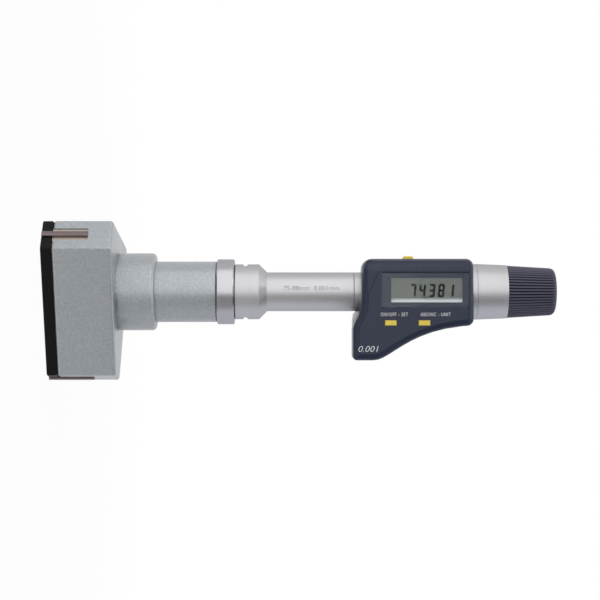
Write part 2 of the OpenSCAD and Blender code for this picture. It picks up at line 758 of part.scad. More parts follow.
module front_button(z) {
    base = inner_depth - 0.05;
    color(yellow) translate([button_x, -base, z]) rotate([90, 0, 0]) rotate([0, 0, 90])
        button_form(button_len, button_h, panel_depth + button_rise - base, 0.3);
}

module power_button() {
    front_button(power_z);
}

module mode_button() {
    front_button(mode_z);
}

module top_button() {
    base = case_top - wall - 0.05;
    color(yellow) translate([-base, -top_button_depth, top_button_z]) rotate([0, -90, 0])
        button_form(top_button_len, top_button_w, case_top + top_button_rise - base, 0.5);
}

module battery() {
    y2 = back_depth - cover_t - 0.1;
    color("silver") cross_rod([cell_z, cell_x], cell_d / 2, cell_d / 2, y2 - cell_h, y2);
}

module battery_contact() {
    y1 = back_depth - cover_t - cell_room;
    color("goldenrod") cross_rod([cell_z, cell_x], cell_d / 2 - 1.5, cell_d / 2 - 1.5, y1, y1 + contact_t);
}

module battery_seal() {
    y = back_depth - cover_t + seal_r;
    ring_at = cover_r - seal_r - 0.3;
    color("black") translate([cell_x, y, cell_z]) rotate([90, 0, 0])
        rotate_extrude() translate([ring_at, 0]) circle(r = seal_r - seat_gap, $fn = 24);
}

module battery_cover() {
    y1 = back_depth - cover_t + seat_gap;
    slot_l = cover_r * 1.1;
    ring_at = cover_r - seal_r - 0.3;
    color(dark_plastic) difference() {
        cross_rod([cell_z, cell_x], cover_r, cover_r, y1, back_depth + 0.3);
        translate([cell_x - slot_l / 2, back_depth - 0.7, cell_z - 0.6]) cube([slot_l, 2, 1.2]);
        translate([cell_x, y1 - 0.1, cell_z]) rotate([-90, 0, 0])
            tube(ring_at + seal_r + 0.05, ring_at - seal_r - 0.05, 0, 2 * seal_r + 0.15);
    }
}

module inner_sleeve() {
    bore = spindle_r + free_gap;
    seat_z = sleeve_end_z - nut_seat_len;
    color(steel) turned([
        [bore, sleeve_z], [sleeve_flange_r, sleeve_z], [sleeve_flange_r, sleeve_z + sleeve_flange_len],
        [sleeve_r, sleeve_z + sleeve_flange_len], [sleeve_r, sleeve_end_z],
        [spindle_nut_r + seat_gap, sleeve_end_z], [spindle_nut_r + seat_gap, seat_z], [bore, seat_z]
    ]);
}

module spindle_nut() {
    z1 = sleeve_end_z - nut_seat_len + seat_gap;
    color(bronze) tube(spindle_nut_r, spindle_r + run_gap, z1, sleeve_end_z);
}

module encoder_stator() {
    color("seagreen") tube(rotor_r, spindle_r + 2, stator_z, stator_z + stator_t - seat_gap);
}

module encoder_rotor() {
    bore = spindle_r + run_gap;
    disc_z = rotor_z + rotor_hub_len;
    color("darkseagreen") turned([
        [bore, rotor_z], [spindle_r + 2, rotor_z], [spindle_r + 2, disc_z], [rotor_r, disc_z],
        [rotor_r, disc_z + rotor_t], [bore, disc_z + rotor_t]
    ]);
}

module wiper_seal() {
    len = 2.4;
    z2 = case_end_z - 0.6;
    color("black") tube(thimble_room_r - seat_gap, thimble_r + run_gap, z2 - len, z2);
}

module spindle() {
    color(steel) turned([
        [0, spindle_z], [spindle_r, spindle_z], [spindle_r, thimble_wall_z - seat_gap],
        [spindle_end_r, thimble_wall_z - seat_gap], [spindle_end_r, thimble_wall_z + spindle_end_len],
        [0, thimble_wall_z + spindle_end_len]
    ]);
}

module thimble() {
    end_r = thimble_end_d / 2;
    groove_z = case_end_z + 1.8;
    groove = 0.12;
    shoulder_r = knob_bore_r - 0.3;
    taper_z = case_end_z + 0.6;
    function taper(z) = thimble_r + (end_r - thimble_r) * (z - taper_z) / (knob_z - taper_z);
    color(steel) turned([
        [thimble_bore_r, thimble_z], [thimble_r, thimble_z], [thimble_r, taper_z],
        [taper(groove_z), groove_z], [taper(groove_z) - groove, groove_z + groove],
        [taper(groove_z) - groove, groove_z + 3 * groove], [taper(groove_z + 4 * groove), groove_z + 4 * groove],
        [end_r, knob_z - 0.05], [shoulder_r, knob_z - 0.05], [shoulder_r, thimble_wall_z + thimble_wall_t],
        [stem_r, thimble_wall_z + thimble_wall_t], [stem_r, stem_z], [screw_shank_r + seat_gap, stem_z],
        [screw_shank_r + seat_gap, thimble_wall_z + spindle_end_len + run_gap],
        [spindle_end_r + seat_gap, thimble_wall_z + spindle_end_len + run_gap],
        [spindle_end_r + seat_gap, thimble_wall_z], [thimble_bore_r, thimble_wall_z]
    ]);
}

// Sprung ring on the stem, with three arms that click over the ratchet teeth
module pawl_spring() {
    arm_r = ratchet_in_r - 0.08;
    hub_r = stem_r + 0.35;
    color(polished) translate([0, 0, ratchet_z + 0.2]) linear_extrude(ratchet_len - 0.4) difference() {
        union() {
            circle(r = hub_r);
            for (turn = anvil_turns) rotate(turn) polygon([
                [hub_r * cos(24), -hub_r * sin(24)], [arm_r, -0.35], [arm_r, 0.35], [hub_r * cos(6), hub_r * sin(6)]
            ]);
        }
        circle(r = stem_r + seat_gap);
    }
}

module ratchet_screw() {
    head_r = stem_r + 1;
    color(steel) difference() {
        union() {
            tube(head_r, 0, stem_z + run_gap, stem_z + run_gap + screw_head_len);
            tube(screw_shank_r, 0, stem_z - screw_shank_len + 0.6, stem_z + run_gap + 0.1);
        }
        translate([-head_r, -0.5, stem_z + screw_head_len - 0.7]) cube([2 * head_r, 1, 2]);
    }
}

// Ribbed knob: three points to a rib, on rings that run down its stepped bore, then up the tapered side and
// over the rounded end
module ratchet_knob() {
    z1 = knob_z + run_gap;
    round_z = end_z - knob_round_r;
    round_steps = 4;
    web_z = stem_z - run_gap;
    head_room_r = knob_bore_r - 0.6;
    head_room_z = stem_z + screw_head_len + 1;
    function knob_ring(r, depth, z) =
        [for (i = [0:3 * rib_count - 1]) let(a = 120 * i / rib_count, low = i % 3 == 0 ? depth : 0)
            [(r - low) * cos(a), (r - low) * sin(a), z]];
    bore = [
        knob_ring(head_room_r, 0, head_room_z), knob_ring(head_room_r, 0, web_z),
        knob_ring(stem_r + run_gap, 0, web_z), knob_ring(stem_r + run_gap, 0, web_z - web_t),
        knob_ring(knob_bore_r, 0, web_z - web_t), knob_ring(knob_bore_r, 0, z1)
    ];
    rounds = [for (k = [0:round_steps]) let(a = 80 * k / round_steps)
        knob_ring(knob_end_d / 2 - knob_round_r * (1 - cos(a)), rib_depth * (1 - k / round_steps),
            round_z + knob_round_r * sin(a) / sin(80))];
    color(black_plastic) skin(concat(bore, [knob_ring(knob_d / 2, rib_depth, z1)], rounds));
}

module ratchet_ring() {
    out_r = knob_bore_r - seat_gap;
    color(steel) translate([0, 0, ratchet_z]) linear_extrude(ratchet_len) difference() {
        circle(r = out_r);
        polygon([for (i = [0:2 * tooth_count - 1]) let(a = 180 * (i + 1) / tooth_count)
            (i % 2 == 0 ? ratchet_in_r + tooth_h * 0.4 : ratchet_in_r) * [cos(a), sin(a)]]);
    }
}

front_plate();
plate_screws();
head_block();
ring_spring();
anvil(0);  // anvil_1
anvil(1);  // anvil_2
anvil(2);  // anvil_3
contact_strip(0);  // contact_strip_1
contact_strip(1);  // contact_strip_2
contact_strip(2);  // contact_strip_3
neck();
front_bush();
coupling_nut();
lock_collar();
guide_tube();
rear_bush();
tube_socket();
cone();
push_rod();
thrust_ball();
front_shell();
back_body();
case_screws();
window();
lcd_panel();
lcd_holder();
circuit_board();
key_pad();
top_switch();
power_button();
mode_button();
top_button();
battery();
battery_contact();
battery_seal();
battery_cover();
inner_sleeve();
spindle_nut();
encoder_stator();
encoder_rotor();
wiper_seal();
spindle();
thimble();
pawl_spring();
ratchet_screw();
ratchet_knob();
ratchet_ring();
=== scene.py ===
"""Looks of a digital three-point inside micrometer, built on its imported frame."""

import math

import bpy
from bpy.props import FloatProperty, FloatVectorProperty, PointerProperty, StringProperty
from mathutils import Matrix, Vector


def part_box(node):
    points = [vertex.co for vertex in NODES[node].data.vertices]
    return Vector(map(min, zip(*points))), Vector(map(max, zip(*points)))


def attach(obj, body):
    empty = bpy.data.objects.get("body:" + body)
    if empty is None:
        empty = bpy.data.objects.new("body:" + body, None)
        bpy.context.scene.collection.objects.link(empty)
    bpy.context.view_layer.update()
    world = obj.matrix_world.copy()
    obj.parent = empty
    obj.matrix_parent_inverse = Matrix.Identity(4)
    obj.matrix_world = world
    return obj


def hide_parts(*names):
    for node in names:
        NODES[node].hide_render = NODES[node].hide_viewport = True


bl_info = {
    "name": "Inside Micrometer",
    "version": (1, 0, 0),
    "blender": (4, 5, 0),
    "location": "View3D > Sidebar > Micrometer",
    "description": "Finishes, markings and studio for a three-point inside micrometer",
    "category": "Object",
}

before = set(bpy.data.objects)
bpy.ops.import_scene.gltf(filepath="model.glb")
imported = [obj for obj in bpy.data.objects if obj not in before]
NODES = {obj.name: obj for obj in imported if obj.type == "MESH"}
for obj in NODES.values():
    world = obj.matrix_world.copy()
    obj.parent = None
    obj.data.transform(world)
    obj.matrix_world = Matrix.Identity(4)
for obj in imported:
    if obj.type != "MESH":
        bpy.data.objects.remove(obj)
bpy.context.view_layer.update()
MM = 0.001

ANVILS = ("anvil_1", "anvil_2", "anvil_3")
CONTACT_STRIPS = ("contact_strip_1", "contact_strip_2", "contact_strip_3")

# Axes of the display face: letters run along +Z, stand towards -X and look along -Y.
FACE_AXES = Matrix(((0, -1, 0), (0, 0, -1), (1, 0, 0))).to_4x4()

# Place and radius of the knob's ribs at their two ends, the depth of the grooves between them, and the length
# over which the grooves run out. These place the painted shade in the grooves and the painted highlight on the
# ribs.
RIB_ENDS = ((191.05 * MM, 10.95 * MM), (208.8 * MM, 9.90 * MM))
RIB_DEPTH = 0.5 * MM
RIB_RUNOUT = 1.5 * MM

# Tint of the metals at a grazing angle.
EDGE_TINT = (0.72, 0.72, 0.75, 1)

# Each length of the ring spring: its angle about the axis, steps along it, sides of its section, and how far the
# section draws in between two turns of the wire.
SPRING_SPAN = math.radians(117)
SPRING_STEPS = 108
SPRING_SIDES = 12
SPRING_GROOVE = 0.82

# Seven-segment digits. Width and stroke are shares of the height, the rest shares of the stroke.
SEGMENTS = {
    "0": "abcdef", "1": "bc", "2": "abged", "3": "abgcd", "4": "fgbc",
    "5": "afgcd", "6": "afgedc", "7": "abc", "8": "abcdefg", "9": "abcdfg",
}
DIGIT_WIDTH = 0.48
DIGIT_STROKE = 0.165
SEGMENT_GAP = 0.12
SEGMENT_POINT = 0.45
SEGMENT_OVERLAP = 0.7
DOT_SIZE = 0.9
DOT_SHIFT = 0.3
DIGIT_PITCH = 3.88 * MM
DIGIT_SLANT = 0.09
DIGIT_DEPTH = 0.04 * MM
DIGIT_CLEARANCE = 0.004 * MM
# Middle of the digits on the display face: along the axis and across it.
DIGITS_AT = (158.7 * MM, -0.45 * MM)

# Words over the keys: piece, words, width, and the middle along the axis. All stand at one place across it.
KEY_LABELS = (
    ("label_power", "ON/OFF - SET", 11.2 * MM, 143.2 * MM),
    ("label_mode", "ABS/INC - UNIT", 12.4 * MM, 160.1 * MM),
)
KEY_LABEL_ACROSS = 9.35 * MM
PRINT_DEPTH = 0.06 * MM
# The display's step on the lobe: words, height, width, and the middle along the axis and across it.
STEP_WORDS = "0.001"
STEP_SIZE = (2.4 * MM, 8.2 * MM)
STEP_AT = (132.6 * MM, 23.5 * MM)

# Range etched on the tube: height, width, depth and lift of the letters, the rows that they are cut into to follow
# the curve, their middle along the axis and their turn about it.
ETCHED_WORDS = "75-88mm  0.001mm"
ETCHED_SIZE = (1.7 * MM, 23.0 * MM)
ETCHED_DEPTH = 0.05 * MM
ETCHED_LIFT = 0.015 * MM
ETCHED_ROWS = 6
ETCHED_AT = 109.2 * MM
ETCHED_TURN = math.radians(-11)

# Direction of the dim side of the studio, low in front of the part as it lies in the picture, and of the low side.
DIM_SIDE = (0.58, -0.815, 0)
LOW_SIDE = (1, 0, 0)
LOW_TINT = (0.90, 0.92, 1)
# Softboxes: name, place and size. All of them aim at one point.
SOFTBOXES = (
    ("key", (-0.643, -0.766, 0.12), (2.0, 0.86)),
    ("strip", (-0.56, -0.78, 0.12), (2.0, 0.22)),
    ("top", (-0.25, -0.30, 1.25), (1.0, 1.0)),
)
LIGHT_AIM = Vector((0, 0, 0.10))
FLOOR_SIZE = 2.2
# Middle of the picture: across the part and along its axis.
VIEW_MIDDLE = (3.44 * MM, 104.5 * MM)
SENSOR_WIDTH = 36


class Value:
    """A number on a node socket, with Python's operators."""

    def __init__(self, shading, socket):
        self.shading = shading
        self.socket = socket

    def _math(self, operation, first, second):
        return self.shading.node("ShaderNodeMath", {"operation": operation}, {0: first, 1: second})

    def __add__(self, other):
        return self._math("ADD", self, other)

    __radd__ = __add__

    def __sub__(self, other):
        return self._math("SUBTRACT", self, other)

    def __rsub__(self, other):
        return self._math("SUBTRACT", other, self)

    def __mul__(self, other):
        return self._math("MULTIPLY", self, other)

    __rmul__ = __mul__


class Shading:
    """A node tree, built node by node."""

    def __init__(self, owner, shader):
        owner.use_nodes = True
        self.nodes = owner.node_tree.nodes
        self.links = owner.node_tree.links
        self.shader = self.nodes[shader]

    def node(self, kind, settings=None, sockets=None, output=0):
        made = self.nodes.new(kind)
        for key, value in (settings or {}).items():
            setattr(made, key, value)
        for key, value in (sockets or {}).items():
            self.feed(made.inputs[key], value)
        return Value(self, made.outputs[output])

    def feed(self, socket, value):
        if isinstance(value, Value):
            self.links.new(value.socket, socket)
        else:
            socket.default_value = value

    def set(self, **values):
        for key, value in values.items():
            self.feed(self.shader.inputs[key.replace("_", " ")], value)
        return self

    def range(self, value, low, high, to_low=0.0, to_high=1.0, soft=False):
        """A value carried from one range to another and held at its ends."""
        settings = {"interpolation_type": "SMOOTHSTEP" if soft else "LINEAR"}
        limits = {0: value, 1: low, 2: high, 3: to_low, 4: to_high}
        return self.node("ShaderNodeMapRange", settings, limits)

    def blend(self, factor, first, second):
        colours = {0: factor, 6: (*first, 1), 7: (*second, 1)}
        return self.node("ShaderNodeMix", {"data_type": "RGBA"}, colours, output=2)

    def length(self, vector):
        return self.node("ShaderNodeVectorMath", {"operation": "LENGTH"}, {0: vector}, output="Value")

    def along(self, vector, direction):
        """How far a vector reaches in a direction."""
        vectors = {0: vector, 1: direction}
        return self.node("ShaderNodeVectorMath", {"operation": "DOT_PRODUCT"}, vectors, output="Value")

    def rays(self, *names):
        """1 for rays of the named kinds and 0 for the others."""
        path = self.nodes.new("ShaderNodeLightPath")
        kinds = sum(Value(self, path.outputs[f"Is {name} Ray"]) for name in names)
        return self.node("ShaderNodeMath", {"operation": "MINIMUM"}, {0: kinds, 1: 1.0})

    def seen(self):
        """1 for rays from the camera, or from there by way of metal or glass, and 0 for the others."""
        return self.rays("Camera", "Glossy", "Transmission")


class Finish(Shading):
    """A procedural material."""

    def __init__(self, name):
        self.material = bpy.data.materials.new(name)
        super().__init__(self.material, "Principled BSDF")

    def place(self, stretch=(1, 1, 1)):
        """Object coordinates, stretched along each axis."""
        at = self.node("ShaderNodeTexCoord", output="Object")
        return self.node("ShaderNodeMapping", None, {"Vector": at, "Scale": stretch})

    def noise(self, scale, detail=2.0, stretch=(1, 1, 1)):
        values = {"Vector": self.place(stretch), "Scale": scale, "Detail": detail}
        return self.node("ShaderNodeTexNoise", None, values)

    def spread(self, pattern, low, high):
        """The middle of a noise pattern, carried to a range of values."""
        return self.range(pattern, 0.3, 0.7, low, high)

    def bump(self, height, strength, distance):
        values = {"Height": height, "Strength": strength, "Distance": distance}
        return self.set(Normal=self.node("ShaderNodeBump", None, values))


def scaled(colour, amount):
    return tuple(min(1.0, channel * amount) for channel in colour)


def painted_grey(colour):
    """Sprayed satin paint: fine speckle, soft grain, slightly uneven gloss."""
    f = Finish("painted grey")
    speckle = f.range(f.noise(scale=1250, detail=3), low=0.40, high=0.62)
    cloud = f.noise(scale=120)
    f.set(Base_Color=f.blend(speckle * 0.75 + cloud * 0.25, scaled(colour, 0.88), scaled(colour, 1.10)))
    f.set(Roughness=f.spread(cloud, 0.31, 0.40), Metallic=0.56)
    return f.bump(f.noise(scale=3200), strength=0.18, distance=0.06 * MM).material


def black_plate(colour):
    """Blackened plate with a faint dust of lighter grains."""
    f = Finish("blackened plate")
    grain = f.range(f.noise(scale=3000), low=0.55, high=0.75)
    f.set(Base_Color=f.blend(grain, colour, scaled(colour, 2.0)))
    f.set(Roughness=f.range(grain, 0, 1, 0.40, 0.52), Specular_IOR_Level=0.14)
    return f.bump(f.noise(scale=2400), strength=0.12, distance=0.05 * MM).material


def turned_steel(name, colour, rough, marks):
    """Metal turned on a lathe: fine rings about the axis, with a little drift in tone."""
    f = Finish(name)
    rings = f.noise(scale=900, detail=3, stretch=(0.02, 0.02, 4.0))
    drift = f.noise(scale=60)
    f.set(Base_Color=f.blend(rings * 0.7 + drift * 0.3, scaled(colour, 0.90), scaled(colour, 1.08)))
    f.set(Roughness=f.spread(rings, rough - 0.05, rough + 0.07), Metallic=1.0, Specular_Tint=EDGE_TINT)
    return f.bump(rings, strength=marks, distance=0.03 * MM).material


def ground_metal(name, colour, rough, metallic=1.0):
    """Ground or milled metal with short scratches along the axis."""
    f = Finish(name)
    scratch = f.noise(scale=1400, detail=3, stretch=(1, 1, 0.08))
    f.set(Base_Color=f.blend(scratch, scaled(colour, 0.85), scaled(colour, 1.12)))
    f.set(Roughness=f.spread(scratch, rough - 0.06, rough + 0.08), Metallic=metallic)
    return f.bump(scratch, strength=0.15, distance=0.03 * MM).material


def moulded_grain(f, rough_low, rough_high, shine):
    """Gloss and fine bumps of plastic from a spark-eroded mould."""
    spots = f.noise(scale=2200)
    f.set(Roughness=f.spread(spots, rough_low, rough_high), Specular_IOR_Level=shine)
    return f.bump(spots, strength=0.10, distance=0.04 * MM)


def moulded(name, colour, rough, shine=0.3):
    """Moulded plastic with a little drift in tone."""
    f = Finish(name)
    cloud = f.noise(scale=70)
    f.set(Base_Color=f.blend(cloud, scaled(colour, 0.93), scaled(colour, 1.07)))
    return moulded_grain(f, rough - 0.05, rough + 0.06, shine).material


def ribbed_plastic(colour):
    """Knob plastic with painted shade at the bottom of the grooves and a painted highlight along the ribs."""
    f = Finish("knob plastic")
    (low, low_radius), (high, high_radius) = RIB_ENDS
    height = f.along(f.place(), (0, 0, 1))
    out = f.length(f.place((1, 1, 0)))
    crest = low_radius + (height - low) * ((high_radius - low_radius) / (high - low))
    runout = f.range(height, high, high + RIB_RUNOUT, to_low=1.0, to_high=0.4)
    # Painted shade and painted highlight: the base colour darkens towards the bottom of each groove, down to 0.22
    # times the colour, and is 1.7 times the colour on the crests. Both fade where the ribs run out.
    groove = f.range(crest - out, 0.0, RIB_DEPTH * 0.9) * runout
    f.set(Base_Color=f.blend(groove, scaled(colour, 1.7), scaled(colour, 0.22)))
    return moulded_grain(f, 0.36, 0.48, shine=0.30).material


def liquid_crystal(colour):
    """Display glass over a grey-green reflector, with a faint mottle."""
    f = Finish("display glass")
    mottle = f.noise(scale=900)
    f.set(Base_Color=f.blend(mottle, scaled(colour, 0.94), scaled(colour, 1.06)))
    return f.set(Roughness=0.28).material


def clear_plastic(colour):
    """Clear window with a faint haze."""
    f = Finish("clear window")
    haze = f.noise(scale=300)
    f.set(Base_Color=(*colour, 1), Roughness=f.spread(haze, 0.02, 0.05))
    return f.set(Transmission_Weight=1.0, IOR=1.2).material


def board_green(colour):
    """Circuit board with paler tracks."""
    f = Finish("circuit board")
    tracks = f.range(f.noise(scale=500, detail=1, stretch=(0.2, 1, 3)), low=0.48, high=0.52)
    return f.set(Base_Color=f.blend(tracks, colour, scaled(colour, 1.5)), Roughness=0.4).material


def dress(material, *names):
    """Give CAD nodes their finish."""
    for name in names:
        for slot in NODES[name].material_slots:
            slot.material = material


def select_only(obj):
    bpy.ops.object.select_all(action="DESELECT")
    obj.select_set(True)
    bpy.context.view_layer.objects.active = obj


def put(obj, place):
    """Move a piece by a matrix and keep its place in its mesh."""
    select_only(obj)
    obj.matrix_world = place @ obj.matrix_world
    bpy.ops.object.transform_apply(location=True, rotation=True, scale=True)
    return obj


def settle(obj, name, material, body):
    """Finished piece: outward faces, its finish and its body."""
    obj.name = name
    obj.data.name = name
    select_only(obj)
    bpy.ops.object.mode_set(mode="EDIT")
    bpy.ops.mesh.select_all(action="SELECT")
    bpy.ops.mesh.remove_doubles(threshold=1e-7)
    bpy.ops.mesh.normals_make_consistent(inside=False)
    bpy.ops.object.mode_set(mode="OBJECT")
    obj.data.materials.clear()
    obj.data.materials.append(material)
    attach(obj, body)


def join(objects):
    select_only(objects[0])
    for obj in objects:
        obj.select_set(True)
    bpy.ops.object.join()
    return bpy.context.view_layer.objects.active


def lettering(words, height, width, depth, weight=0.0, lean=0.0, spacing=1.0):
    """Raised letters about the origin, stretched to a given width, height and depth."""
    bpy.ops.object.select_all(action="DESELECT")
    bpy.ops.object.text_add()
    text = bpy.context.view_layer.objects.active.data
    text.body = words
    text.extrude = 0.5
    text.offset = weight
    text.shear = lean
    text.space_character = spacing
    text.resolution_u = 3
    bpy.ops.object.convert(target="MESH")
    obj = bpy.context.view_layer.objects.active
    low = [min(v.co[i] for v in obj.data.vertices) for i in range(3)]
    high = [max(v.co[i] for v in obj.data.vertices) for i in range(3)]
    centre = Vector([(a + b) / 2 for a, b in zip(low, high)])
    sizes = (width, height, depth)
    grow = Matrix.Diagonal([s / (b - a) for s, a, b in zip(sizes, low, high)] + [1])
    return put(obj, grow @ Matrix.Translation(-centre))


def on_face(obj, along, across, y):
    """Turn a piece drawn flat so that it lies on the display face."""
    return put(obj, Matrix.Translation((across, y, along)) @ FACE_AXES)


def colour_prop(name, description, default):
    return FloatVectorProperty(name=name, description=description, default=default, subtype="COLOR", min=0, max=1)


def length_prop(name, description, default):
    return FloatProperty(name=name, description=description, default=default, unit="LENGTH")


class FinishProps(bpy.types.PropertyGroup):
    grey: colour_prop("Grey paint", "Paint of the head and the neck", (0.395, 0.420, 0.440))
    black: colour_prop("Black plate", "Front plate of the head", (0.0035, 0.0035, 0.004))
    ground: colour_prop("Ground steel", "Anvils", (0.60, 0.53, 0.47))
    hard: colour_prop("Hard metal", "Contact strips", (0.19, 0.15, 0.15))
    wire: colour_prop("Spring wire", "Ring spring", (0.40, 0.40, 0.42))
    steel: colour_prop("Satin steel", "Collar, tube and thimble", (0.482, 0.482, 0.497))
    bright: colour_prop("Bright steel", "Coupling nut", (0.40, 0.40, 0.42))
    casting: colour_prop("Satin casting", "Back of the display case", (0.4145, 0.4145, 0.4274))
    bronze: colour_prop("Bronze", "Bushes and spindle nut", (0.50, 0.36, 0.18))
    slate: colour_prop("Slate plastic", "Front shell of the display case", (0.0145, 0.0215, 0.051))
    knob: colour_prop("Knob plastic", "Ratchet knob", (0.053, 0.052, 0.080))
    yellow: colour_prop("Key yellow", "Push buttons", (0.90, 0.68, 0.12))
    pale: colour_prop("Pale plastic", "Holder of the display", (0.86, 0.88, 0.90))
    rubber: colour_prop("Black rubber", "Key pad and seals", (0.02, 0.02, 0.02))
    board: colour_prop("Board green", "Circuit board", (0.03, 0.16, 0.08))
    display: colour_prop("Display", "Ground of the liquid-crystal display", (0.126, 0.140, 0.122))
    window: colour_prop("Window", "Clear window over the display", (0.96, 0.98, 0.98))


class MarkProps(bpy.types.PropertyGroup):
    reading: StringProperty(name="Reading", description="Digits on the display", default="74.381")
    digit_height: length_prop("Digit height", "Height of a digit", 5.6 * MM)
    label_height: length_prop("Label height", "Height of the words over the keys", 1.5 * MM)
    digit: colour_prop("Digits", "Dark segments of the display", (0.003, 0.003, 0.003))
    label: colour_prop("Labels", "Print on the display case", (0.93, 0.94, 0.95))
    etched: colour_prop("Etching", "Range on the guide tube", (0.15, 0.15, 0.16))


class StageProps(bpy.types.PropertyGroup):
    distance: length_prop("Camera distance", "From the camera to the axis", 0.74)
    lens: FloatProperty(name="Lens", description="Focal length in millimetres", default=105.8)
    floor: colour_prop("Floor", "Floor under the part", (0.9, 0.9, 0.9))
    room_level: FloatProperty(name="Room", description="Light of the room on matt surfaces", default=0.58)
    low_level: FloatProperty(
        name="Low side", description="The same from below the part in the picture", default=0.12)
    dim_level: FloatProperty(
        name="Dim side", description="Darkest part of the room in reflections", default=0.15)
    key_level: FloatProperty(name="Key", description="Radiance of the softbox over the part", default=0.60)
    strip_level: FloatProperty(name="Strip", description="Radiance of the strip light in the key", default=0.85)
    top_level: FloatProperty(name="Top", description="Radiance of the softbox at the knob's end", default=1.0)


class MICROMETER_OT_head(bpy.types.Operator):
    """Finish the measuring head and the neck"""

    bl_idname = "micrometer.head"
    bl_label = "Head and Neck"

    def execute(self, context):
        p = context.scene.micrometer_finish
        dress(painted_grey(tuple(p.grey)), "head_block", "neck")
        dress(black_plate(tuple(p.black)), "front_plate", "plate_screws")
        dress(ground_metal("ground steel", tuple(p.ground), rough=0.45, metallic=0.5), *ANVILS)
        dress(ground_metal("hard metal", tuple(p.hard), rough=0.34), *CONTACT_STRIPS)
        return {"FINISHED"}


class MICROMETER_OT_spring(bpy.types.Operator):
    """Wind the ring spring in three lengths, each carried by its anvil"""

    bl_idname = "micrometer.spring"
    bl_label = "Ring Spring"

    def winding(self, ring, radius, height, turn):
        """One length of close-wound spring about the axis, with a groove between its turns."""
        bpy.ops.object.select_all(action="DESELECT")
        bpy.ops.mesh.primitive_circle_add(
            vertices=SPRING_SIDES, radius=radius, location=(ring, 0, height),
            rotation=(math.pi / 2, 0, 0), enter_editmode=True)
        bpy.ops.mesh.spin(steps=SPRING_STEPS, angle=SPRING_SPAN, center=(0, 0, 0), axis=(0, 0, 1))
        bpy.ops.mesh.select_all(action="SELECT")
        bpy.ops.mesh.fill_holes(sides=0)
        bpy.ops.object.mode_set(mode="OBJECT")
        obj = put(bpy.context.view_layer.objects.active, Matrix.Identity(4))
        for vert in obj.data.vertices:
            around = math.atan2(vert.co.y, vert.co.x)
            if round(around / SPRING_SPAN * SPRING_STEPS) % 2:
                middle = Vector((ring * math.cos(around), ring * math.sin(around), height))
                vert.co = middle.lerp(vert.co, SPRING_GROOVE)
        middle = sum((vert.co for vert in obj.data.vertices), Vector())
        return put(obj, Matrix.Rotation(turn - math.atan2(middle.y, middle.x), 4, "Z"))

    def execute(self, context):
        p = context.scene.micrometer_finish
        low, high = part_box("ring_spring")
        radius = (high.z - low.z) / 2
        wire = ground_metal("spring wire", tuple(p.wire), rough=0.30)
        for number, body in enumerate(ANVILS, start=1):
            middle = sum(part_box(body), Vector()) / 2
            turn = math.atan2(middle.y, middle.x)
            length = self.winding(high.x - radius, radius, (low.z + high.z) / 2, turn)
            settle(length, f"spring_length_{number}", wire, body)
            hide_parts("ring_spring")
        return {"FINISHED"}


class MICROMETER_OT_metal(bpy.types.Operator):
    """Finish the turned metal pieces"""

    bl_idname = "micrometer.metal"
    bl_label = "Turned Metal"

    def execute(self, context):
        p = context.scene.micrometer_finish
        dress(turned_steel("satin steel", tuple(p.steel), rough=0.42, marks=0.08),
              "lock_collar", "guide_tube", "tube_socket", "thimble", "inner_sleeve", "push_rod", "spindle",
              "ratchet_screw", "ratchet_ring", "pawl_spring", "ring_spring", "case_screws")
        dress(turned_steel("bright steel", tuple(p.bright), rough=0.24, marks=0.05),
              "coupling_nut", "cone", "thrust_ball", "battery")
        dress(turned_steel("bronze", tuple(p.bronze), rough=0.28, marks=0.08),
              "front_bush", "rear_bush", "spindle_nut", "battery_contact")
        dress(ground_metal("satin casting", tuple(p.casting), rough=0.36), "back_body")
        return {"FINISHED"}


class MICROMETER_OT_case(bpy.types.Operator):
    """Finish the display case, its keys and the knob"""

    bl_idname = "micrometer.case"
    bl_label = "Case and Knob"

    def execute(self, context):
        p = context.scene.micrometer_finish
        dress(moulded("slate plastic", tuple(p.slate), rough=0.30, shine=0.32), "front_shell", "battery_cover")
        dress(ribbed_plastic(tuple(p.knob)), "ratchet_knob")
        dress(moulded("key yellow", tuple(p.yellow), rough=0.36), "power_button", "mode_button", "top_button")
        dress(moulded("pale plastic", tuple(p.pale), rough=0.45), "lcd_holder")
        dress(moulded("soft black rubber", tuple(p.rubber), rough=0.7),
              "key_pad", "battery_seal", "wiper_seal", "top_switch")
        dress(board_green(tuple(p.board)), "circuit_board", "encoder_stator", "encoder_rotor")
        dress(liquid_crystal(tuple(p.display)), "lcd_panel")
        dress(clear_plastic(tuple(p.window)), "window")
        return {"FINISHED"}


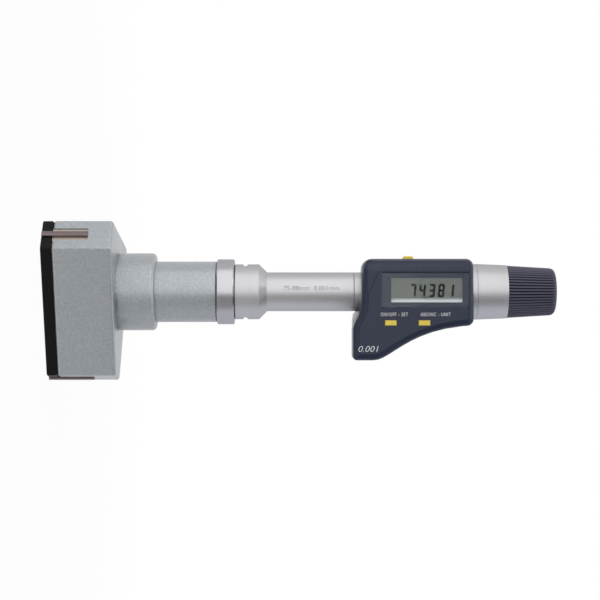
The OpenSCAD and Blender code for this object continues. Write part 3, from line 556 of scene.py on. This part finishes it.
class MICROMETER_OT_digits(bpy.types.Operator):
    """Add the slanted seven-segment digits to the display"""

    bl_idname = "micrometer.digits"
    bl_label = "Display Digits"

    def bar(self, length, width, at, upright):
        """One segment: a flat bar with pointed ends, given its thickness."""
        bpy.ops.object.select_all(action="DESELECT")
        bpy.ops.mesh.primitive_plane_add(size=1, enter_editmode=True)
        bpy.ops.transform.resize(value=(length, width, 1))
        bpy.ops.mesh.bevel(offset=width * SEGMENT_POINT, affect="VERTICES", clamp_overlap=True)
        bpy.ops.mesh.extrude_region_move(TRANSFORM_OT_translate={"value": (0, 0, DIGIT_DEPTH)})
        bpy.ops.object.mode_set(mode="OBJECT")
        turn = Matrix.Rotation(math.pi / 2 if upright else 0, 4, "Z")
        return put(bpy.context.view_layer.objects.active, Matrix.Translation((*at, 0)) @ turn)

    def execute(self, context):
        p = context.scene.micrometer_marks
        tall = p.digit_height
        wide = tall * DIGIT_WIDTH
        thick = tall * DIGIT_STROKE
        side = wide / 2 - thick / 2
        half = tall / 2 - thick / 2
        places = {
            "a": (0, half, False), "d": (0, -half, False), "g": (0, 0, False),
            "b": (side, half / 2, True), "c": (side, -half / 2, True),
            "f": (-side, half / 2, True), "e": (-side, -half / 2, True),
        }
        spare = thick * SEGMENT_OVERLAP - 2 * thick * SEGMENT_GAP
        dot = thick * DOT_SIZE
        bars = []
        across = 0.0
        for sign in p.reading:
            if sign == ".":
                at = (across - DIGIT_PITCH / 2 - thick * DOT_SHIFT, -tall / 2)
                bars.append(self.bar(dot, dot, at, False))
                continue
            for letter in SEGMENTS[sign]:
                x, y, upright = places[letter]
                length = (half if upright else wide - thick) + spare
                bars.append(self.bar(length, thick, (across + x, y), upright))
            across += DIGIT_PITCH
        digits = join(bars)
        slant = Matrix.Identity(4)
        slant[0][1] = DIGIT_SLANT
        digits.data.transform(slant @ Matrix.Translation((-(across - DIGIT_PITCH) / 2, 0, 0)))
        on_face(digits, *DIGITS_AT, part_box("lcd_panel")[0].y - DIGIT_CLEARANCE)
        black = moulded("digit black", tuple(p.digit), rough=0.6, shine=0.02)
        settle(digits, "display_digits", black, "frame")
        return {"FINISHED"}


class MICROMETER_OT_labels(bpy.types.Operator):
    """Add the printed words over the keys and the step on the lobe"""

    bl_idname = "micrometer.labels"
    bl_label = "Case Labels"

    def execute(self, context):
        p = context.scene.micrometer_marks
        white = moulded("label white", tuple(p.label), rough=0.5)
        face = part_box("front_shell")[0].y
        for name, text, width, along in KEY_LABELS:
            words = lettering(text, p.label_height, width, PRINT_DEPTH, weight=-0.008, spacing=1.15)
            on_face(words, along, KEY_LABEL_ACROSS, face)
            settle(words, name, white, "frame")
        step = lettering(STEP_WORDS, *STEP_SIZE, PRINT_DEPTH, weight=-0.012, lean=0.25)
        on_face(step, *STEP_AT, face)
        settle(step, "label_step", white, "frame")
        return {"FINISHED"}


class MICROMETER_OT_tube_mark(bpy.types.Operator):
    """Add the etched range to the guide tube"""

    bl_idname = "micrometer.tube_mark"
    bl_label = "Tube Marking"

    def slice_rows(self, obj, height, rows):
        """Cut the letters into low rows, so that they can follow the tube's curve."""
        select_only(obj)
        bpy.ops.object.mode_set(mode="EDIT")
        for row in range(1, rows):
            bpy.ops.mesh.select_all(action="SELECT")
            level = (row / rows - 0.5) * height
            bpy.ops.mesh.bisect(plane_co=(0, level, 0), plane_no=(0, 1, 0))
        bpy.ops.object.mode_set(mode="OBJECT")

    def execute(self, context):
        p = context.scene.micrometer_marks
        low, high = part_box("guide_tube")
        radius = (high.x - low.x) / 2
        words = lettering(ETCHED_WORDS, *ETCHED_SIZE, ETCHED_DEPTH, weight=-0.015)
        self.slice_rows(words, ETCHED_SIZE[0], ETCHED_ROWS)
        for vert in words.data.vertices:
            angle = vert.co.y / radius
            reach = radius + ETCHED_LIFT + vert.co.z
            vert.co = Vector((-reach * math.sin(angle), -reach * math.cos(angle), vert.co.x))
        put(words, Matrix.Translation((0, 0, ETCHED_AT)) @ Matrix.Rotation(ETCHED_TURN, 4, "Z"))
        settle(words, "tube_mark", moulded("etched mark", tuple(p.etched), rough=0.6), "frame")
        return {"FINISHED"}


class MICROMETER_OT_stage(bpy.types.Operator):
    """Set up the floor, the light and the camera"""

    bl_idname = "micrometer.stage"
    bl_label = "Studio"

    def white_ground(self, colour):
        """Pale floor that looks white to the eye and in reflections, yet keeps its shadow near the part."""
        f = Finish("white ground")
        f.set(Base_Color=(*colour, 1), Roughness=0.9)
        away = f.length(f.place())
        glow = f.range(away, low=0.05, high=0.5, to_low=0.95, to_high=1.0, soft=True)
        light = f.node("ShaderNodeEmission", None, {"Color": (1, 1, 1, 1), "Strength": 1.0})
        mix = f.node("ShaderNodeMixShader", None, {0: f.seen() * glow, 2: light})
        f.links.new(f.shader.outputs[0], mix.socket.node.inputs[1])
        f.links.new(mix.socket, f.nodes["Material Output"].inputs["Surface"])
        return f.material

    def room(self, props):
        """White room, with the dim side of the studio low in front of the part and less light from below it."""
        world = bpy.data.worlds.new("studio")
        bpy.context.scene.world = world
        f = Shading(world, "Background")
        camera = f.rays("Camera")
        towards = f.node("ShaderNodeTexCoord", output="Generated")
        below = f.along(towards, LOW_SIDE)
        cool = f.range(below, low=0.3, high=0.9, soft=True) * (1 - camera)
        mirrored = f.range(f.along(towards, DIM_SIDE), 0.78, 1.0, 1.0, props.dim_level, soft=True)
        matt = f.range(below, -0.2, 0.8, props.room_level, props.low_level, soft=True)
        light = f.range(f.seen(), 0, 1, matt, mirrored)
        f.set(Color=f.blend(cool, (1, 1, 1), LOW_TINT), Strength=f.range(camera, 0, 1, light, 1.0))

    def softbox(self, name, at, size, radiance):
        data = bpy.data.lights.new(name, "AREA")
        data.shape = "RECTANGLE"
        data.size, data.size_y = size
        data.energy = radiance * math.pi * size[0] * size[1]
        obj = bpy.data.objects.new(name, data)
        bpy.context.scene.collection.objects.link(obj)
        obj.location = at
        obj.rotation_euler = (LIGHT_AIM - Vector(at)).to_track_quat("-Z", "Y").to_euler()

    def camera(self, scene, props):
        data = bpy.data.cameras.new("camera")
        data.lens = props.lens
        data.sensor_width = SENSOR_WIDTH
        obj = bpy.data.objects.new("camera", data)
        scene.collection.objects.link(obj)
        across, along = VIEW_MIDDLE
        obj.matrix_world = Matrix.Translation((across, -props.distance, along)) @ FACE_AXES
        scene.camera = obj

    def execute(self, context):
        p = context.scene.micrometer_stage
        context.scene.view_settings.view_transform = "Standard"
        bpy.ops.object.select_all(action="DESELECT")
        bpy.ops.mesh.primitive_plane_add(size=FLOOR_SIZE, location=(0, 0, 0))
        floor = context.view_layer.objects.active
        floor.name = "floor"
        floor.data.materials.append(self.white_ground(tuple(p.floor)))
        self.room(p)
        for name, at, size in SOFTBOXES:
            self.softbox(name, at, size, getattr(p, f"{name}_level"))
        self.camera(context.scene, p)
        return {"FINISHED"}


class MICROMETER_PT_panel(bpy.types.Panel):
    """Settings and steps in the sidebar"""

    bl_idname = "MICROMETER_PT_panel"
    bl_label = "Inside Micrometer"
    bl_space_type = "VIEW_3D"
    bl_region_type = "UI"
    bl_category = "Micrometer"

    def draw(self, context):
        for operator in OPERATORS:
            self.layout.operator(operator.bl_idname)
        for name in GROUPS:
            props = getattr(context.scene, name)
            box = self.layout.box()
            for key in props.__annotations__:
                box.prop(props, key)


OPERATORS = (MICROMETER_OT_stage, MICROMETER_OT_head, MICROMETER_OT_spring, MICROMETER_OT_metal,
             MICROMETER_OT_case, MICROMETER_OT_digits, MICROMETER_OT_labels, MICROMETER_OT_tube_mark)
GROUPS = {"micrometer_finish": FinishProps, "micrometer_marks": MarkProps, "micrometer_stage": StageProps}
CLASSES = (*GROUPS.values(), *OPERATORS, MICROMETER_PT_panel)


def register():
    for cls in CLASSES:
        bpy.utils.register_class(cls)
    for name, cls in GROUPS.items():
        setattr(bpy.types.Scene, name, PointerProperty(type=cls))


def unregister():
    for name in GROUPS:
        delattr(bpy.types.Scene, name)
    for cls in reversed(CLASSES):
        bpy.utils.unregister_class(cls)


def main():
    register()
    bpy.ops.micrometer.stage()
    bpy.ops.micrometer.head()
    bpy.ops.micrometer.spring()
    bpy.ops.micrometer.metal()
    bpy.ops.micrometer.case()
    bpy.ops.micrometer.digits()
    bpy.ops.micrometer.labels()
    bpy.ops.micrometer.tube_mark()


if __name__ == "__main__":
    main()
